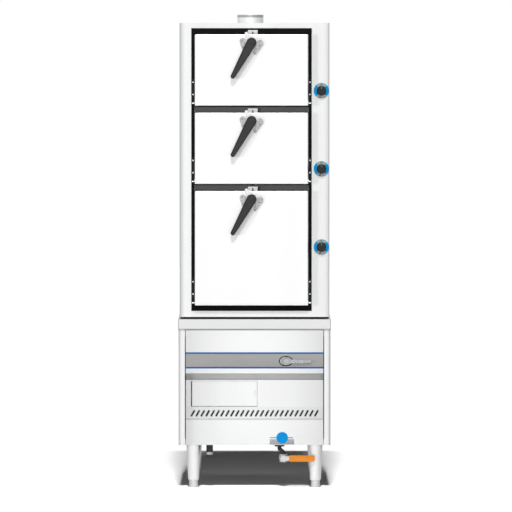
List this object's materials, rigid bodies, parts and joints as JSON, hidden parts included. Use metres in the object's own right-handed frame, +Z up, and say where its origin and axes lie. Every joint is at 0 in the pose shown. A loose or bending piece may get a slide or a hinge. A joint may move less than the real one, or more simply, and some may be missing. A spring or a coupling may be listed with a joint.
{
  "type": "steam cabinet",
  "caption": "Upright gas steam cabinet: stacked drop-door steaming chambers with lever latches and steam knobs over a boiler base on legs, with a top flue.",
  "frame": {"origin": "on the floor, under the middle of the cabinet's overall box", "axes": "+Z up, the doors face -Y, +X to the right seen from the front"},
  "size_m": [0.612, 0.9, 1.898],
  "materials": {
    "satin_steel": "fine satin stainless sheet",
    "door_steel": "fine satin stainless door skin",
    "liner_steel": "plain stainless sheet",
    "tank_steel": "plain stainless plate",
    "leg_steel": "turned satin tube",
    "foot_steel": "bright turned foot",
    "hinge_steel": "plain stainless",
    "rack_steel": "bright stainless",
    "dark_steel": "heat darkened steel",
    "chrome_trim": "polished",
    "black_rubber": "matt moulded rubber",
    "black_plastic": "moulded, light texture",
    "black_paint": "black enamel",
    "dial_plate": "printed plate with plain sectors",
    "strip_aluminium": "brushed, blue edge lines",
    "valve_brass": "cast and machined",
    "float_brass": "drawn",
    "valve_nickel": "nickel plated",
    "burner_iron": "cast",
    "blower_paint": "grey enamel",
    "orange_sleeve": "dipped vinyl sleeve",
    "mineral_wool": "pressed wool board"
  },
  "bodies": {
    "cabinet": {"outer_shell": "satin_steel", "rear_cover": "satin_steel", "insulation": "mineral_wool", "door_surround": "black_rubber", "steam_racks": "rack_steel", "hinge_brackets": "hinge_steel", "hinge_pins": "hinge_steel", "hinge_screws": "hinge_steel", "latch_keepers": "chrome_trim", "knob_dials": "dial_plate", "steam_valves": "valve_brass", "steam_riser": "hinge_steel", "flue_duct": "dark_steel", "flue_collar": "satin_steel", "counter_top": "satin_steel", "seat_gasket": "black_rubber", "base_frame": "satin_steel", "base_shell": "satin_steel", "base_floor": "satin_steel", "fascia": "satin_steel", "control_strip": "strip_aluminium", "hatch_frame": "satin_steel", "kick_panel": "satin_steel", "gas_valve": "valve_brass", "water_tank": "tank_steel", "burner": "burner_iron", "blower_housing": "blower_paint", "float_box": "rack_steel", "gas_inlet": "dark_steel", "drain_pipe_line": "black_paint", "drain_valve_body": "valve_nickel", "legs": "leg_steel", "levelling_feet": "foot_steel", "chamber_upper_liner": "liner_steel", "chamber_middle_liner": "liner_steel", "chamber_lower_liner": "liner_steel"},
    "hatch": {"hatch_door": "satin_steel"},
    "gas_tap": {"gas_lever": "rack_steel"},
    "fan": {"blower_wheel": "dark_steel"},
    "float": {"float_arm": "float_brass"},
    "drain_tap": {"drain_lever": "rack_steel", "drain_lever_sleeve": "orange_sleeve"},
    "door_upper": {"door_upper_outer": "door_steel", "door_upper_inner": "liner_steel", "latch_upper_plate": "chrome_trim"},
    "latch_upper": {"latch_upper_hook": "chrome_trim", "latch_upper_lever": "black_plastic"},
    "valve_knob_upper": {"knob_upper": "black_plastic"},
    "door_middle": {"door_middle_outer": "door_steel", "door_middle_inner": "liner_steel", "latch_middle_plate": "chrome_trim"},
    "latch_middle": {"latch_middle_hook": "chrome_trim", "latch_middle_lever": "black_plastic"},
    "valve_knob_middle": {"knob_middle": "black_plastic"},
    "door_lower": {"door_lower_outer": "door_steel", "door_lower_inner": "liner_steel", "latch_lower_plate": "chrome_trim"},
    "latch_lower": {"latch_lower_hook": "chrome_trim", "latch_lower_lever": "black_plastic"},
    "valve_knob_lower": {"knob_lower": "black_plastic"}
  },
  "joints": [
    {"name": "door_upper_swing", "type": "hinge", "parent": "cabinet", "child": "door_upper", "pos_m": [-0.012, -0.396, 1.545], "axis": [1, 0, 0], "range_deg": [0, 90]},
    {"name": "door_middle_swing", "type": "hinge", "parent": "cabinet", "child": "door_middle", "pos_m": [-0.012, -0.396, 1.232], "axis": [1, 0, 0], "range_deg": [0, 90]},
    {"name": "door_lower_swing", "type": "hinge", "parent": "cabinet", "child": "door_lower", "pos_m": [-0.012, -0.396, 0.746], "axis": [1, 0, 0], "range_deg": [0, 90]},
    {"name": "latch_upper_turn", "type": "hinge", "parent": "door_upper", "child": "latch_upper", "pos_m": [-0.012, -0.42, 1.783], "axis": [0, 1, 0], "range_deg": [0, 40]},
    {"name": "latch_middle_turn", "type": "hinge", "parent": "door_middle", "child": "latch_middle", "pos_m": [-0.012, -0.42, 1.47], "axis": [0, 1, 0], "range_deg": [0, 40]},
    {"name": "latch_lower_turn", "type": "hinge", "parent": "door_lower", "child": "latch_lower", "pos_m": [-0.012, -0.42, 1.157], "axis": [0, 1, 0], "range_deg": [0, 40]},
    {"name": "valve_knob_upper_turn", "type": "hinge", "parent": "cabinet", "child": "valve_knob_upper", "pos_m": [0.268, -0.38, 1.591], "axis": [0, -1, 0], "range_deg": [-90, 90]},
    {"name": "valve_knob_middle_turn", "type": "hinge", "parent": "cabinet", "child": "valve_knob_middle", "pos_m": [0.268, -0.38, 1.278], "axis": [0, -1, 0], "range_deg": [-90, 90]},
    {"name": "valve_knob_lower_turn", "type": "hinge", "parent": "cabinet", "child": "valve_knob_lower", "pos_m": [0.268, -0.38, 0.965], "axis": [0, -1, 0], "range_deg": [-90, 90]},
    {"name": "hatch_swing", "type": "hinge", "parent": "cabinet", "child": "hatch", "pos_m": [-0.251, -0.37125, 0.3765], "axis": [0, 0, -1], "range_deg": [0, 110]},
    {"name": "gas_lever_turn", "type": "hinge", "parent": "cabinet", "child": "gas_tap", "pos_m": [0.126, -0.4, 0.5075], "axis": [0, 1, 0], "range_deg": [0, 90]},
    {"name": "drain_lever_turn", "type": "hinge", "parent": "cabinet", "child": "drain_tap", "pos_m": [0.116, -0.38, 0.117], "axis": [0, -1, 0], "range_deg": [0, 90]},
    {"name": "float_swing", "type": "hinge", "parent": "cabinet", "child": "float", "pos_m": [-0.231, -0.303, 0.416], "axis": [0, 1, 0], "range_deg": [-25, 0]},
    {"name": "fan_spin", "type": "hinge", "parent": "cabinet", "child": "fan", "pos_m": [-0.25, -0.105, 0.281], "axis": [1, 0, 0], "continuous": true}
  ]
}
